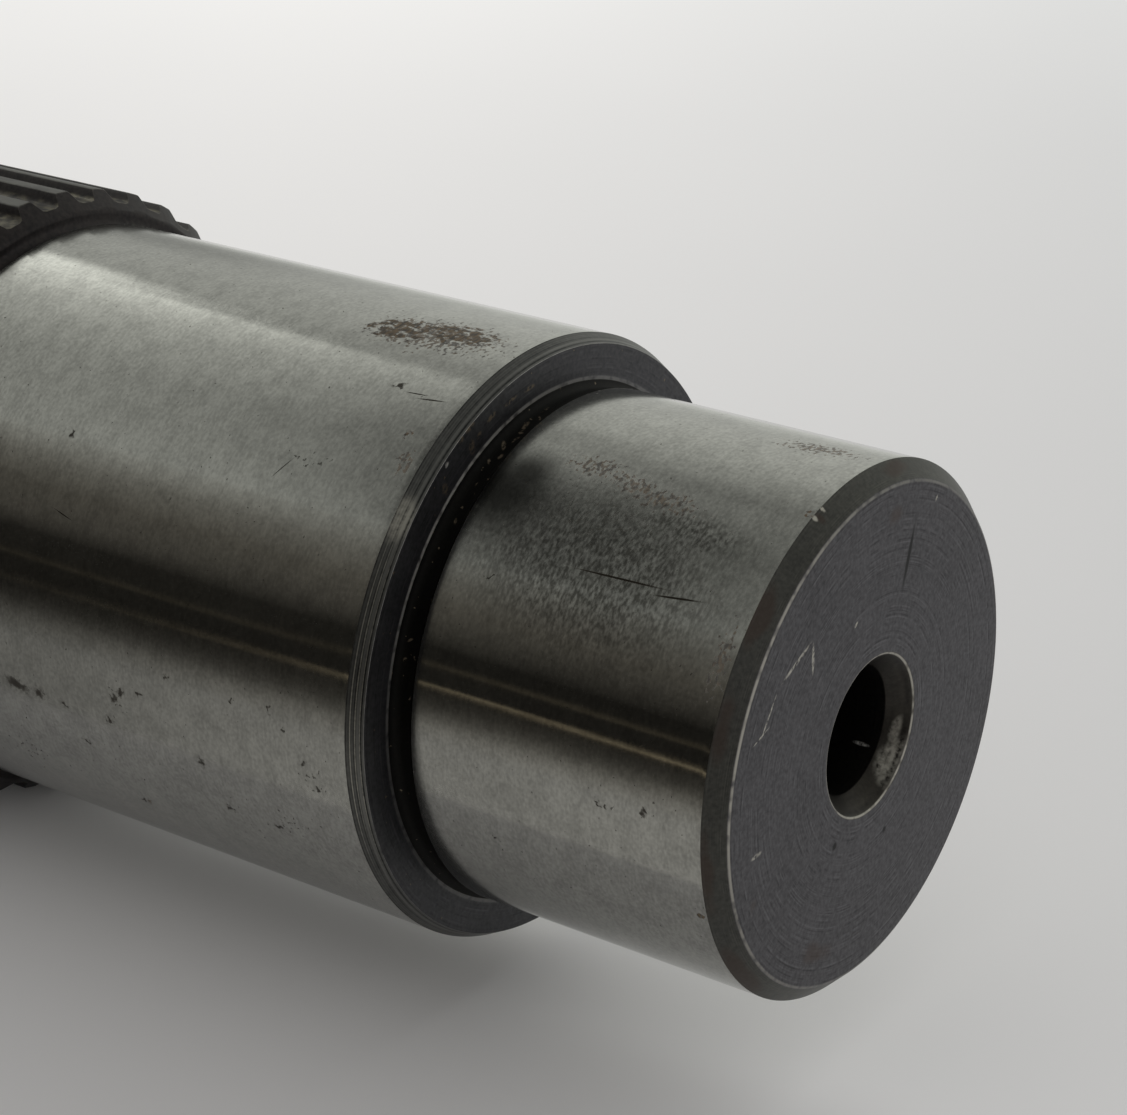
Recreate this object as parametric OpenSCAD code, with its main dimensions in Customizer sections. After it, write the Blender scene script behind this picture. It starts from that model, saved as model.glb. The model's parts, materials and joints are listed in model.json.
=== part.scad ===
// Shaft of a power take-off gearbox: one turned steel bar, with ground bearing
// surfaces and an involute spline cut into its thick end.
// It lies along X with its drilled end towards +X, as it rests on two spline teeth.
// The origin is on the axis, in the middle of the ground bearing seat.

/* [Journal] */
// Diameter of the ground journal at the end
journal_d = 38; // [30:0.5:42]
// Length of the journal, from the seat's shoulder to the end face
journal_len = 26.3; // [12:0.1:60]
// Size of the 45 degree chamfer round the end face
end_chamfer = 1.3; // [0.5:0.1:3]

/* [End bore] */
// Diameter of the bore drilled into the end face
bore_d = 9.2; // [5:0.1:12]
// Depth of the bore's straight wall, from the end face
bore_depth = 30; // [12:1:60]
// How far the countersink reaches past the bore's wall
sink_rim = 1.15; // [0.5:0.05:2]
// Depth of the countersink
sink_depth = 1.6; // [0.8:0.1:3]

/* [Bearing seat] */
// Diameter of the ground seat
seat_d = 45; // [43:0.5:46]
// Length of the seat's ground surface
seat_len = 45.5; // [20:0.5:90]
// Length of the lead-in at the seat's free edge
lead_len = 1.15; // [0.5:0.05:3]
// Height of the lead-in
lead_h = 0.6; // [0.2:0.05:1]

/* [Relief grooves] */
// Depth of the grooves that let the grinding wheel run out
relief_depth = 0.35; // [0.2:0.05:0.8]
// Radius of the fillet between groove and shoulder
relief_r = 0.6; // [0.4:0.05:0.9]
// Flat floor of the groove beside the journal
journal_floor = 0.8; // [0.1:0.05:2]
// Flat floor of the groove beside the seat
seat_floor = 0.1; // [0.05:0.05:2]

/* [Spline] */
// Reference diameter of the spline
spline_d = 50; // [49.5:0.25:60]
// Module of the teeth
spline_module = 1.25; // [0.8:0.05:1.5]
// Height of the teeth
tooth_h = 0.875; // [0.6:0.025:1.35]
// Length of the spline, over its chamfered ends
spline_len = 100; // [80:1:200]
// Size of the 45 degree chamfer at both ends of the teeth
spline_chamfer = 1.5; // [0.5:0.1:2]
// Fillet at the foot of each tooth
root_fillet = 0.2; // [0.1:0.02:0.24]

/* [Hidden] */

// Round surfaces get this many segments in a preview
$fn = 180;
// How far a cutting shape runs past the face it opens
over = 0.5;
// Half of a twist drill's point angle
drill_half = 59;
// Straight pieces that stand for one rounded corner or one tooth flank
arc_steps = 4;
flank_steps = 3;

journal_r = journal_d / 2;
seat_r = seat_d / 2;
bore_r = bore_d / 2;

// A groove runs from its shoulder over fillet, floor and 45 degree run-out
seat_groove = relief_r + seat_floor + relief_depth;

// Places along the axis, from the splined end to the drilled end
x_seat_start = -seat_len / 2;
x_spline = x_seat_start - seat_groove;
x_far = x_spline - spline_len;
x_lead = seat_len / 2;
x_shoulder = x_lead + lead_len;
x_end = x_shoulder + journal_len;

// Involute spline with 30 degree flanks: tip and tooth thickness follow from the module
flank_angle = 30;
spline_teeth = round(spline_d / spline_module) - 2;
tip_r = spline_d / 2 - 0.1 * spline_module;
root_r = tip_r - tooth_h;
pitch_r = spline_module * spline_teeth / 2;
base_r = pitch_r * cos(flank_angle);
shift = spline_d / 2 - pitch_r - 0.55 * spline_module;
pitch_thick = PI * spline_module / 2 + 2 * shift * tan(flank_angle);

// Involute function of an angle, in degrees
function involute(a) = tan(a) * 180 / PI - a;

// Angle between radius and flank at radius r
function flank_at(r) = acos(base_r / r);

// Half of the angle that one tooth space spans at radius r
function half_space(r) =
    180 / spline_teeth - pitch_thick / pitch_r * 90 / PI
    - involute(flank_angle) + involute(flank_at(r));

function polar(r, a) = [r * cos(a), r * sin(a)];

// One side of a tooth space, from the middle of its foot outwards
function space_side() =
    let (
        foot_a = half_space(root_r),
        foot = polar(root_r, foot_a),
        slope = foot_a + flank_at(root_r),
        inset = root_fillet * tan(45 - slope / 2),
        centre = foot + [root_fillet, -inset],
        first = root_r + inset
    )
    concat(
        [for (i = [0:arc_steps])
            centre + polar(root_fillet, 180 - i / arc_steps * (90 - slope))],
        [for (i = [1:flank_steps])
            let (r = first + i / flank_steps * (tip_r + over - first))
            polar(r, half_space(r))]
    );

// Section of one tooth space
module tooth_space() {
    side = space_side();
    last = len(side) - 1;
    polygon(concat(
        side,
        [for (i = [last:-1:0]) [side[i][0], -side[i][1]]]
    ));
}

// Outline of a relief groove, from its shoulder at x_face to the ground surface
function relief(x_face, surface_r, floor_len) =
    let (
        floor_r = surface_r - relief_depth,
        x_floor = x_face + relief_r,
        x_run = x_floor + floor_len
    )
    concat(
        [for (i = [0:arc_steps])
            let (a = i / arc_steps * 90)
            [floor_r + relief_r * (1 - sin(a)), x_floor - relief_r * cos(a)]],
        [[floor_r, x_run], [surface_r, x_run + relief_depth]]
    );

// Turned outline of the whole bar, as radius and place along the axis
module blank_outline() {
    polygon(concat(
        [
            [0, x_far],
            [tip_r - spline_chamfer, x_far],
            [tip_r, x_far + spline_chamfer],
            [tip_r, x_spline - spline_chamfer],
            [tip_r - spline_chamfer, x_spline]
        ],
        relief(x_spline, seat_r, seat_floor),
        [
            [seat_r, x_lead],
            [seat_r - lead_h, x_shoulder]
        ],
        relief(x_shoulder, journal_r, journal_floor),
        [
            [journal_r, x_end - end_chamfer],
            [journal_r - end_chamfer, x_end],
            [0, x_end]
        ]
    ));
}

// Drilled and countersunk bore in the end face
module bore_outline() {
    x_floor = x_end - bore_depth;
    polygon([
        [0, x_end + over],
        [bore_r + sink_rim * (1 + over / sink_depth), x_end + over],
        [bore_r, x_end - sink_depth],
        [bore_r, x_floor],
        [0, x_floor - bore_r / tan(drill_half)]
    ]);
}

module splined_shaft() {
    color("#8b8a86")
    rotate([0, 90, 0])
    difference() {
        rotate_extrude() blank_outline();
        rotate_extrude() bore_outline();
        // Tooth spaces, with one of them centred at the bottom
        for (i = [0:spline_teeth - 1])
            rotate(i * 360 / spline_teeth)
            translate([0, 0, x_far - over])
            linear_extrude(spline_len + 2 * over)
            tooth_space();
    }
}

splined_shaft();
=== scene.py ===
# %% [markdown]
# # A splined power take-off shaft, seen as in its photograph
# The part is one steel bar: a drilled end, a ground journal, a ground bearing seat and a spline.
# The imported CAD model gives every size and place. This lesson builds its visible skin as one
# closed surface, gives each machined surface its own finish, and lights it like a small studio.

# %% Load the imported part
import json
import math

import bpy
import numpy as np
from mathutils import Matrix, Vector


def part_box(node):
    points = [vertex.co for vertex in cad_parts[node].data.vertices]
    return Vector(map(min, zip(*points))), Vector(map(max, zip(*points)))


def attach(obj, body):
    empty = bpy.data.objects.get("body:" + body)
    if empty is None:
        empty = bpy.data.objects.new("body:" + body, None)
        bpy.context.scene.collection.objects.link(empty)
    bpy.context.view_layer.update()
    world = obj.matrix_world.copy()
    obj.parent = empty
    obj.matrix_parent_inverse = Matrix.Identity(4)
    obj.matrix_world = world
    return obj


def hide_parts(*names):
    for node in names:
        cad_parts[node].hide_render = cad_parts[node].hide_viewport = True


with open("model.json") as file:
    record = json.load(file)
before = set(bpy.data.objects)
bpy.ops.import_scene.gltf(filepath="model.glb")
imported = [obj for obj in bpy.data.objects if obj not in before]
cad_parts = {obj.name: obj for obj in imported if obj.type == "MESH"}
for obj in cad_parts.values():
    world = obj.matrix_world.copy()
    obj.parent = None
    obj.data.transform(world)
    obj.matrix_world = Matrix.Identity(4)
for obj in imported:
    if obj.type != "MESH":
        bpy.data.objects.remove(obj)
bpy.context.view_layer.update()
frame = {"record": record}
NODE = "splined_shaft"
box_low, box_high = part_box(NODE)
mounts = {mount["name"]: mount for mount in frame["record"]["mounts"]}
print("CAD box in mm:", [round(1000 * (b - a), 2) for a, b in zip(box_low, box_high)])

# %% [markdown]
# ## Camera
# The photograph is a close-up from the drilled end's side, looking down a little, so the near end
# looks larger. Only a camera at the true distance gives that perspective. Its place and lens were
# found by fitting the edges of the turned steps, and it stays level, with no shift.

# %% Set the camera
VIEW_AZIMUTH = math.radians(35.7)
VIEW_ELEVATION = math.radians(23.0)
EYE = (0.14004, -0.16065, 0.09073)
LENS_MM = 96.34
SENSOR_MM = 36.0

scene = bpy.context.scene
camera_data = bpy.data.cameras.new("close_up_camera")
camera_data.lens = LENS_MM
camera_data.sensor_width = SENSOR_MM
camera_data.clip_start = 0.01
camera = bpy.data.objects.new("close_up_camera", camera_data)
camera.location = EYE
camera.rotation_euler = (math.pi / 2 - VIEW_ELEVATION, 0.0, VIEW_AZIMUTH)
scene.collection.objects.link(camera)
scene.camera = camera
print("camera with a", LENS_MM, "mm lens at", EYE)

# %% [markdown]
# ## Turned outline
# A lathe makes this shape, so it is described as a lathe sees it: a line of corners, each with its
# place along the axis and its radius. The record's mounts give the ground surfaces, the faces and
# the bore. Chamfers and grooves are small sizes of their own. No real edge is perfectly sharp, so
# each corner gets a small arc, which catches light the way a handled edge does.

# %% Read the ground surfaces from the mounts
def along(name):
    """Place of a mount along the axis, in mm."""
    return 1000 * mounts[name]["pos_m"][0]


def size(name, dimension):
    """A stated dimension of a mount, in mm."""
    return mounts[name]["dims"][dimension]


def span(name):
    """Both ends of a round mount's wall along the axis, in mm."""
    half = size(name, "length_mm") / 2
    return along(name) - half, along(name) + half


seat_r = size("bearing_seat", "r_mm")
journal_r = size("end_journal", "r_mm")
bore_r = size("end_bore", "r_mm")
x_seat = span("bearing_seat")
x_journal = span("end_journal")
x_bore = span("end_bore")
x_end = along("end_face")
x_shoulder = along("journal_shoulder")
x_far = 1000 * box_low[0]
tip_r = 500 * (box_high[1] - box_low[1])
print("seat", 2 * seat_r, "mm, journal", 2 * journal_r, "mm, spline tips", round(2 * tip_r, 2), "mm")

# %% Lay out the corners
RELIEF_DEPTH = 0.35
RELIEF_FILLET = 0.6
SEAT_GROOVE = 1.05
LEAD_HEIGHT = 0.6
SINK_RIM = 1.15
SPLINE_CHAMFER = 1.5
DRILL_HALF_ANGLE = math.radians(59)
# Radii of the small arcs at the corners
FINE_EDGE = 0.04
WORN_EDGE = 0.15
WORN_RIM = 0.4
HOLE_RIM = 0.25
BORE_FOOT = 0.3
GROOVE_FOOT = 0.1
RELIEF_FOOT = 0.03
# Inner and outer edge of the shoulder's bright line past the groove's fillet, which carries a painted
# highlight
SHOULDER_LINE = (0.05, 0.24)

x_spline = x_seat[0] - SEAT_GROOVE
chamfer_foot_r = tip_r - SPLINE_CHAMFER
journal_floor_r = journal_r - RELIEF_DEPTH
fillet_top_r = journal_floor_r + RELIEF_FILLET
seat_floor_r = seat_r - RELIEF_DEPTH
rim_r = journal_r - (x_end - x_journal[1])
drill_tip = x_bore[0] - bore_r / math.tan(DRILL_HALF_ANGLE)

# Each corner: its name, place along the axis, radius and rounding, then the finish of the stretch
# that follows it and the number of rows between its two ends.
corners = [
    ("drill point", drill_tip, 0.0, 0.0, "bore", 2),
    ("bore foot", x_bore[0], bore_r, BORE_FOOT, "bore", 4),
    ("bore mouth", x_bore[1], bore_r, WORN_EDGE, "sink", 4),
    ("hole rim", x_end, bore_r + SINK_RIM, HOLE_RIM, "face", 10),
    ("face rim", x_end, rim_r, WORN_RIM, "chamfer", 6),
    ("journal end", x_journal[1], journal_r, FINE_EDGE, "journal", 12),
    ("journal foot", x_journal[0], journal_r, FINE_EDGE, "groove", 2),
    ("groove floor", x_journal[0] - RELIEF_DEPTH, journal_floor_r, GROOVE_FOOT, "groove", 1),
    ("groove fillet", x_shoulder, journal_floor_r, RELIEF_FILLET, "groove", 0),
    ("shoulder foot", x_shoulder, fillet_top_r + SHOULDER_LINE[0], 0.0, "shoulder", 0),
    ("shoulder line", x_shoulder, fillet_top_r + SHOULDER_LINE[1], 0.0, "shoulder", 6),
    ("shoulder rim", x_shoulder, seat_r - LEAD_HEIGHT, FINE_EDGE, "lead", 8),
    ("seat end", x_seat[1], seat_r, FINE_EDGE, "seat", 14),
    ("seat foot", x_seat[0], seat_r, FINE_EDGE, "groove", 2),
    ("relief floor", x_seat[0] - RELIEF_DEPTH, seat_floor_r, RELIEF_FOOT, "spline", 0),
    ("relief fillet", x_spline, seat_floor_r, RELIEF_FILLET, "spline", 1),
    ("spline end", x_spline, chamfer_foot_r, 0.0, "spline", 0),
]
print(len(corners), "corners from the drill point to the spline")

# %% Round the corners into rows
ARC_ROWS = 4
CROWDED = 4


def turned_rows(corners):
    """Rows of the turned outline: x and radius, finish of the strip after each row, the name of the
    corner that a row rounds, and how far into its arc the row is.

    Between corners the outline is straight. At a corner with a rounding, an arc that touches both
    lines takes its place: it starts where the line has rounding times tan(half the turn) left, and
    its points are start + rounding * (sin(t) along the line + (1 - cos(t)) across it).
    """
    points = np.array([corner[1:3] for corner in corners])
    steps = np.diff(points, axis=0)
    ways = steps / np.linalg.norm(steps, axis=1)[:, None]
    rows, finishes, edges, crest = [points[:1]], [corners[0][4]], [""], [np.zeros(1)]
    for i in range(1, len(corners)):
        name, rounding, after = corners[i][0], corners[i][3], corners[i][4]
        before, count = corners[i - 1][4:]
        arc, rise = points[i:i + 1], np.ones(1)
        if rounding > 0:
            into, out = ways[i - 1], ways[i]
            bend = into[0] * out[1] - into[1] * out[0]
            turn = math.acos(into @ out)
            across = math.copysign(1, bend) * np.array([-into[1], into[0]])
            start = points[i] - into * rounding * math.tan(turn / 2)
            t = np.linspace(0, turn, ARC_ROWS)[:, None]
            arc = start + rounding * (np.sin(t) * into + (1 - np.cos(t)) * across)
            rise = np.sin(np.linspace(0, math.pi, ARC_ROWS))
        share = np.arange(1, count + 1) / (count + 1)
        # On a long stretch rows crowd towards both ends, which keeps its shading straight
        if count >= CROWDED:
            share = 0.5 - 0.5 * np.cos(math.pi * share)
        last = rows[-1][-1]
        rows += [last + share[:, None] * (arc[0] - last), arc]
        crest += [np.zeros(count), rise]
        edges += [""] * count + [name] * len(arc)
        finishes += [before] * (count + len(arc) - 1) + [after]
    rows = np.concatenate(rows)
    return rows[:, 0], rows[:, 1], finishes, edges, np.concatenate(crest)


turned_x, turned_r, turned_finish, turned_edge, turned_crest = turned_rows(corners)
print(len(turned_x), "turned rows")

# %% [markdown]
# ## Spline
# The teeth are involutes, the curve that a tight string's end draws as it unwinds from the base
# circle. They could be cut with booleans, but the skin is a grid around the axis, so it is simpler
# to say how far out the section lies at each angle. The grid's columns are placed for the teeth:
# few across a land, more where a flank turns into the tip or the root.

# %% Work out the tooth section
SPLINE_MODULE = 1.25
SPLINE_TEETH = 38
TOOTH_HEIGHT = 0.875
FLANK_ANGLE = math.radians(30)
# Height of the tips above the shifted pitch circle, in modules
ADDENDUM = 0.45
ROOT_BLEND = 0.25
TIP_BLEND = 0.14
# Columns over half a tooth, as shares of its root, its flank and its land
ROOT_SHARES = np.array([0.0, 0.6])
FLANK_SHARES = np.array([0.05, 0.3, 0.65, 0.93])
LAND_SHARES = np.array([0.03, 0.25, 1.0])

root_r = tip_r - TOOTH_HEIGHT
pitch_r = SPLINE_MODULE * SPLINE_TEETH / 2
base_r = pitch_r * math.cos(FLANK_ANGLE)
shift = tip_r - ADDENDUM * SPLINE_MODULE - pitch_r
tooth_thickness = math.pi * SPLINE_MODULE / 2 + 2 * shift * math.tan(FLANK_ANGLE)
tooth_pitch = 2 * math.pi / SPLINE_TEETH


def half_space(r):
    """Half the angle that a tooth space spans at radius r: half a pitch less half a tooth at the
    pitch circle, widened by the involute function tan(a) - a of the pressure angle at r."""
    pressure = np.arccos(base_r / r)
    involute = np.tan(pressure) - pressure
    at_pitch = math.tan(FLANK_ANGLE) - FLANK_ANGLE
    return tooth_pitch / 2 - tooth_thickness / (2 * pitch_r) + involute - at_pitch


def section_radius(offset):
    """Radius of the spline's section at an angle from the middle of a tooth space.

    The flank is the involute read backwards, from angle to radius. It is held above the root circle
    by a smooth maximum and below the tip circle by a smooth minimum: within the blend width k the
    two curves are joined by the parabola k/4 * (1 - gap/k)^2."""
    radii = np.linspace(root_r - 0.5, tip_r + 0.5, 400)
    flank = np.interp(np.abs(offset), half_space(radii), radii)
    low = np.clip(1 - np.abs(flank - root_r) / ROOT_BLEND, 0, 1)
    flank = np.maximum(flank, root_r) + ROOT_BLEND / 4 * low ** 2
    high = np.clip(1 - np.abs(flank - tip_r) / TIP_BLEND, 0, 1)
    return np.minimum(flank, tip_r) - TIP_BLEND / 4 * high ** 2


root_half, tip_half = half_space(np.array([root_r, tip_r]))
half_tooth = np.concatenate([
    root_half * ROOT_SHARES,
    root_half + (tip_half - root_half) * FLANK_SHARES,
    tip_half + (tooth_pitch / 2 - tip_half) * LAND_SHARES,
])
one_pitch = np.concatenate([half_tooth, tooth_pitch - half_tooth[-2:0:-1]])
columns = len(one_pitch) * SPLINE_TEETH
# Angles start at the bottom, in the middle of a tooth space, and turn towards the camera's side
turn_angle = (tooth_pitch * np.arange(SPLINE_TEETH)[:, None] + one_pitch).ravel()
section_r = np.tile(section_radius(np.minimum(one_pitch, tooth_pitch - one_pitch)), SPLINE_TEETH)
print(columns, "columns, tooth height", round(tip_r - root_r, 3), "mm")

# %% [markdown]
# ## One closed skin
# Every row is a ring of points. On the turned part the ring is a circle. On the spline it follows
# the tooth section, and where the 45 degree chamfer cuts the teeth each point slides along the axis
# to the place where the cone meets its flank, so the tooth ends come out true without a boolean.
# The two ends of the grid are closed with a point on the axis. Two values ride on the points for
# the finishes: the wear of an edge, which on the shoulder's edge is a painted highlight, and how
# high on a tooth a point lies.

# %% Put the rows together
CONE_SHARES = np.array([0.2, 0.6, 0.94, 1.0])
TOOTH_SUPPORT = np.array([0.05, 0.3, 1.5])
FAR_FACE_RINGS = np.array([0.97, 0.8, 0.4])


def spline_rows():
    """Rings over the spline from the seat's side to the far end: x and radius at every column.

    The chamfer is a cone, radius = foot + distance from the end face, so it meets the section where
    that distance is section radius - foot. Rings at shares of this distance lie on the cone, and
    rings at small steps past it lie on the teeth. The far end mirrors them."""
    reach = section_r - chamfer_foot_r
    near = np.concatenate([CONE_SHARES[:, None] * reach, TOOTH_SUPPORT[:, None] + reach])
    radius = np.concatenate([
        chamfer_foot_r + CONE_SHARES[:, None] * reach,
        np.repeat(section_r[None], len(TOOTH_SUPPORT), 0),
    ])
    x = np.concatenate([x_spline - near, (x_far + near)[::-1]])
    return x, np.concatenate([radius, radius[::-1]])


spline_x, spline_r = spline_rows()
far_r = chamfer_foot_r * np.concatenate([[1.0], FAR_FACE_RINGS])
ones = np.ones((1, columns))
# The first turned row is the drill point on the axis, which becomes a single vertex
ring_x = np.concatenate([turned_x[1:, None] * ones, spline_x, np.full((len(far_r), columns), x_far)])
ring_r = np.concatenate([turned_r[1:, None] * ones, spline_r, far_r[:, None] * ones])
finish = turned_finish[1:] + ["spline"] * (len(spline_x) + len(far_r))
print(ring_x.shape, "rings and columns")

# %% Say where edges are worn, and where they carry a painted highlight
# Where each edge is brightest: the angle above the camera's side, how far round the brightness
# reaches, both in degrees, its strength there and its strength elsewhere. It is drawn as worn bare
# steel. On the shoulder's foot and line it is a painted highlight, where the rounded edge catches
# the light from above.
RUBBED_AND_HIGHLIT_EDGES = {
    "hole rim": (-150, 140, 1.0, 0.75),
    "face rim": (20, 55, 1.0, 0.25),
    "journal end": (46, 7, 0.9, 0.1),
    # The shoulder's foot and line get a painted highlight, where the rounded edge catches the light from
    # above
    "shoulder foot": (48, 34, 1.0, 0.12),
    "shoulder line": (48, 34, 1.0, 0.12),
    "shoulder rim": (60, 70, 0.5, 0.15),
    "seat end": (41, 6, 1.0, 0.2),
}
TOOTH_END_WEAR = 0.8


def rubbed_and_highlit_edge(name):
    """Wear and painted highlight of one edge at every column: a bell curve round its brightest angle,
    over the rest.
    """
    middle, reach, most, least = RUBBED_AND_HIGHLIT_EDGES.get(name, (0, 1, 0, 0))
    away = (np.degrees(turn_angle) - 90 - middle + 180) % 360 - 180
    return least + (most - least) * np.exp(-(away / reach) ** 2)


wear = turned_crest[1:, None] * np.stack([rubbed_and_highlit_edge(name) for name in turned_edge[1:]])
edge_row = len(CONE_SHARES) - 1
tooth_edges = np.zeros((len(spline_x), 1))
tooth_edges[[edge_row, -1 - edge_row]] = TOOTH_END_WEAR
wear = np.concatenate([wear, tooth_edges * ones, np.zeros((len(far_r), columns))])
# Height on a tooth runs from 0 at the root to 1 at the tip, and is 0.5 where there is no tooth
height = np.full_like(ring_r, 0.5)
first = len(turned_x) - 1 + edge_row
last = len(turned_x) - 1 + len(spline_x) - edge_row
height[first:last] = np.clip((ring_r[first:last] - root_r) / TOOTH_HEIGHT, 0, 1)
print("worn edges:", ", ".join(RUBBED_AND_HIGHLIT_EDGES))

# %% Make the mesh
SKIN = "power_take_off_shaft"
FINISHES = ["seat", "journal", "face", "chamfer", "shoulder", "lead", "groove", "spline", "sink", "bore"]


def closed_skin(name, x, r, angle, ends):
    """A closed mesh of rings around the X axis, in metres, with one pole at each end.

    A point at angle t from the bottom is (x, -r sin t, -r cos t). Quads join neighbouring rings,
    and triangles join the first and last ring to the poles. The UV map unrolls the skin: u is the
    angle as a share of a turn, and v is the mean distance along the outline as a share of the whole.
    """
    rings, count = x.shape
    points = np.stack([x, -r * np.sin(angle), -r * np.cos(angle)], -1).reshape(-1, 3)
    poles = np.array([[ends[0], 0, 0], [ends[1], 0, 0]])
    points = np.concatenate([points, poles]) / 1000
    here = np.arange(count)
    after = (here + 1) % count
    ring = np.arange(rings - 1)[:, None] * count
    quads = np.stack([ring + here, ring + after, ring + count + after, ring + count + here], -1)
    first = np.stack([np.full(count, rings * count), after, here], -1)
    base = (rings - 1) * count
    last = np.stack([base + here, base + after, np.full(count, rings * count + 1)], -1)
    mesh = bpy.data.meshes.new(name)
    mesh.from_pydata(points, [], quads.reshape(-1, 4).tolist() + first.tolist() + last.tolist())
    step = np.hypot(np.diff(x, axis=0), np.diff(r, axis=0)).mean(1)
    run = np.concatenate([[r[0].mean()], r[0].mean() + np.cumsum(step)])
    v = run / (run[-1] + r[-1].mean())
    u = np.concatenate([angle, [2 * math.pi]]) / (2 * math.pi)
    quad_u = np.broadcast_to(np.stack([u[:-1], u[1:], u[1:], u[:-1]], -1), (rings - 1, count, 4))
    quad_v = np.broadcast_to(np.stack([v[:-1], v[:-1], v[1:], v[1:]], -1)[:, None], quad_u.shape)
    middle = (u[:-1] + u[1:]) / 2
    flat = np.zeros(count)
    first_uv = np.stack([middle, flat, u[1:], flat + v[0], u[:-1], flat + v[0]], -1)
    last_uv = np.stack([u[:-1], flat + v[-1], u[1:], flat + v[-1], middle, flat + 1], -1)
    uv = np.concatenate([np.stack([quad_u, quad_v], -1).ravel(), first_uv.ravel(), last_uv.ravel()])
    mesh.uv_layers.new(name="OFBake").data.foreach_set("uv", uv.astype(np.float32))
    mesh.polygons.foreach_set("use_smooth", np.ones(len(mesh.polygons), bool))
    return mesh


def volume_of(mesh):
    """Volume inside a closed mesh, the sum of its triangles' signed corner volumes."""
    mesh.calc_loop_triangles()
    corner = np.zeros(len(mesh.loop_triangles) * 3, np.int32)
    mesh.loop_triangles.foreach_get("vertices", corner)
    place = np.zeros(len(mesh.vertices) * 3, np.float32)
    mesh.vertices.foreach_get("co", place)
    a, b, c = place.reshape(-1, 3).astype(float)[corner.reshape(-1, 3)].transpose(1, 0, 2)
    return float((a * np.cross(b, c)).sum() / 6)


skin_mesh = closed_skin(SKIN, ring_x, ring_r, turn_angle, (turned_x[0], x_far))
for name, values, at_poles in (("wear", wear, 0.0), ("tooth_height", height, 0.5)):
    layer = skin_mesh.attributes.new(name, "FLOAT", "POINT")
    layer.data.foreach_set("value", np.append(values.ravel(), [at_poles] * 2).astype(np.float32))
strip = [FINISHES.index(name) for name in finish[:-1]]
slots = np.concatenate([
    np.repeat(strip, columns),
    np.full(columns, FINISHES.index("bore")),
    np.full(columns, FINISHES.index("spline")),
])
skin_mesh.polygons.foreach_set("material_index", slots.astype(np.int32))
skin = bpy.data.objects.new(SKIN, skin_mesh)
scene.collection.objects.link(skin)
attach(skin, "root")
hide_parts(NODE)
print(len(skin_mesh.polygons), "faces,", round(volume_of(skin_mesh) * 1e9), "mm3 inside")

# %% [markdown]
# ## Finishes
# Steel has one colour, and the difference between its surfaces is in how they were worked. The
# ground bands mirror the room, smeared along the axis by grinding marks that run round it. The
# turned faces were darkened by heat treatment and stayed black. Node patterns are sized in real
# millimetres and read Object coordinates, or the unrolled UV map where a mark has its own place.

# %% Helpers for materials
SMOOTH = {"interpolation_type": "SMOOTHSTEP"}
TIMES_PLUS = {"operation": "MULTIPLY_ADD"}
COLOURS = {"out": 2, "data_type": "RGBA"}
FLAT = {"noise_dimensions": "2D"}


def linear(colour):
    """Linear RGBA of an sRGB hex colour: c/12.92 near black, else ((c + 0.055)/1.055)^2.4."""
    parts = [int(colour[i:i + 2], 16) / 255 for i in (1, 3, 5)]
    return [c / 12.92 if c <= 0.04045 else ((c + 0.055) / 1.055) ** 2.4 for c in parts] + [1.0]


def add(tree, kind, inputs=None, out=0, **settings):
    """Adds a node, sets its settings, fills or links its inputs, and returns one of its outputs."""
    item = tree.nodes.new("ShaderNode" + kind)
    for name, value in settings.items():
        setattr(item, name, value)
    for key, value in (inputs or {}).items():
        if isinstance(value, bpy.types.NodeSocket):
            tree.links.new(value, item.inputs[key])
        else:
            item.inputs[key].default_value = value
    return item.outputs[out] if item.outputs else item


def new_material(name):
    """An empty node material and its node tree."""
    material = bpy.data.materials.new(name)
    material.use_nodes = True
    material.node_tree.nodes.clear()
    return material, material.node_tree


def place_in_mm(tree):
    """Object coordinates in millimetres."""
    place = add(tree, "TexCoord", out="Object")
    return add(tree, "VectorMath", {0: place, "Scale": 1000.0}, operation="SCALE")


def unrolled(tree, radius):
    """A round surface unrolled flat, in millimetres: x along the axis, y round it at this radius.

    y is 0 on the camera's side of the axis, level with it, and grows upwards."""
    turn = add(tree, "SeparateXYZ", {0: add(tree, "UVMap", uv_map="OFBake")})
    arc = add(tree, "Math", {0: turn, 1: 2 * math.pi * radius, 2: -math.pi / 2 * radius}, **TIMES_PLUS)
    x = add(tree, "SeparateXYZ", {0: place_in_mm(tree)})
    return add(tree, "CombineXYZ", {0: x, 1: arc})


def end_on(tree):
    """A flat end face seen along the axis, in millimetres: x is the frame's Y and y its Z."""
    place = place_in_mm(tree)
    y = add(tree, "SeparateXYZ", {0: place}, out=1)
    z = add(tree, "SeparateXYZ", {0: place}, out=2)
    return add(tree, "CombineXYZ", {0: y, 1: z})


def grains(tree, place, lengths_mm, detail=1.0, **settings):
    """Noise from 0 to 1 whose grains have the given lengths along x, y and z."""
    stretch = [1 / length for length in lengths_mm]
    place = add(tree, "VectorMath", {0: place, 1: stretch}, operation="MULTIPLY")
    return add(tree, "TexNoise", {"Vector": place, "Scale": 1.0, "Detail": detail}, **settings)


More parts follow.
